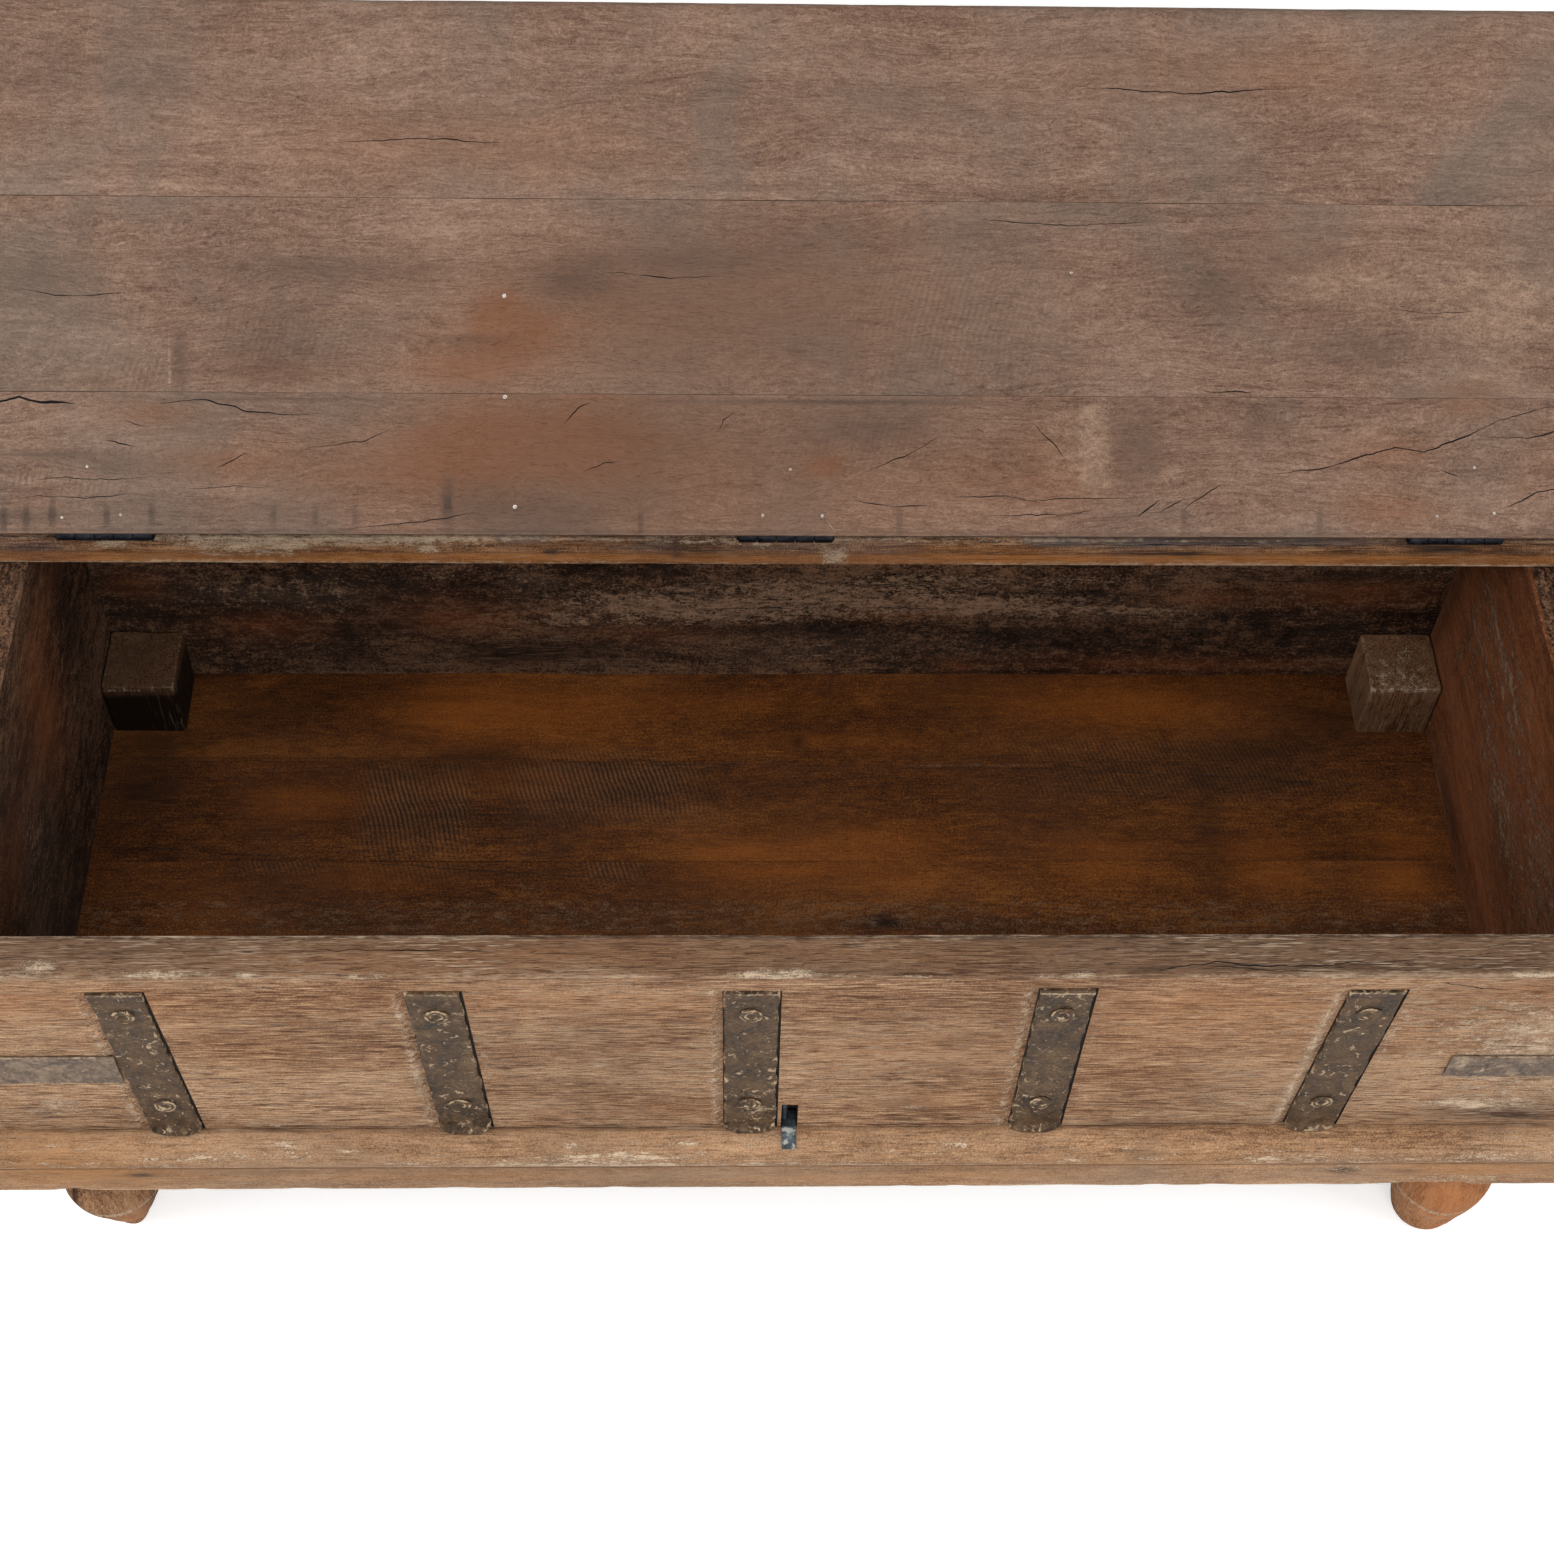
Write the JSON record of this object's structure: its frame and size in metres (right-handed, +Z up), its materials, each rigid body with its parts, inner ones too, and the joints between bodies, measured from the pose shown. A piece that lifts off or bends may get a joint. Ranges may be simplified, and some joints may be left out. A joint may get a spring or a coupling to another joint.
{
  "type": "storage trunk",
  "caption": "Low plank storage trunk on turned legs, with a hinged plank lid, a fixed rear top board, let-in iron straps and a moulded base",
  "frame": {"origin": "middle of the underside of the whole trunk's bounding box, with the lid open as at rest; the feet stand at z = 0", "axes": "+X along the length to the right as seen from the front, +Y from the strapped front towards the rear, +Z up"},
  "size_m": [1.12, 0.5966, 0.6963],
  "materials": {
    "front_wood": "wire-brushed, open grained, sanded pale round the straps",
    "wall_wood": "dark, rough, stained inside",
    "floor_wood": "dark red-brown, worn, with chatter marks",
    "fixed_top_wood": "planed orange edge, worn pale arris",
    "lid_wood": "dusty matt, fine wavy grain",
    "moulding_wood": "light brown with worn pale highlights",
    "leg_wood": "turned, red-brown",
    "strap_iron": "dark olive-brown patina with pale dust",
    "band_iron": "grey-black patina",
    "hinge_iron": "blue-black",
    "tongue_iron": "blue-grey, scratched"
  },
  "bodies": {
    "chest": {"base_moulding_front": "moulding_wood", "base_moulding_left": "moulding_wood", "base_moulding_rear": "moulding_wood", "base_moulding_right": "moulding_wood", "corner_band_left": "band_iron", "corner_band_right": "band_iron", "fixed_top_board": "fixed_top_wood", "floor_plank_front": "floor_wood", "floor_plank_middle": "floor_wood", "floor_plank_rear": "floor_wood", "front_board": "front_wood", "front_strap_1": "strap_iron", "front_strap_2": "strap_iron", "front_strap_3": "strap_iron", "front_strap_4": "strap_iron", "front_strap_5": "strap_iron", "hinge_leaf_fixed_left": "hinge_iron", "hinge_leaf_fixed_middle": "hinge_iron", "hinge_leaf_fixed_right": "hinge_iron", "hinge_pin_left": "hinge_iron", "hinge_pin_middle": "hinge_iron", "hinge_pin_right": "hinge_iron", "latch_tongue": "tongue_iron", "left_side_board": "wall_wood", "leg_front_left": "leg_wood", "leg_front_right": "leg_wood", "leg_rear_left": "leg_wood", "leg_rear_right": "leg_wood", "rear_board": "wall_wood", "right_side_board": "wall_wood", "strap_rivet_1_lower": "strap_iron", "strap_rivet_1_upper": "strap_iron", "strap_rivet_2_lower": "strap_iron", "strap_rivet_2_upper": "strap_iron", "strap_rivet_3_lower": "strap_iron", "strap_rivet_3_upper": "strap_iron", "strap_rivet_4_lower": "strap_iron", "strap_rivet_4_upper": "strap_iron", "strap_rivet_5_lower": "strap_iron", "strap_rivet_5_upper": "strap_iron"},
    "lid": {"hinge_leaf_lid_left": "hinge_iron", "hinge_leaf_lid_middle": "hinge_iron", "hinge_leaf_lid_right": "hinge_iron", "lid_plank_front": "lid_wood", "lid_plank_middle": "lid_wood", "lid_plank_rear": "lid_wood", "lid_strap_left": "strap_iron", "lid_strap_right": "strap_iron"}
  },
  "joints": [
    {"name": "lid_hinge", "type": "hinge", "parent": "chest", "child": "lid", "pos_m": [0, 0.04198, 0.4554], "axis": [1, 0, 0], "range_deg": [0, 140]}
  ]
}
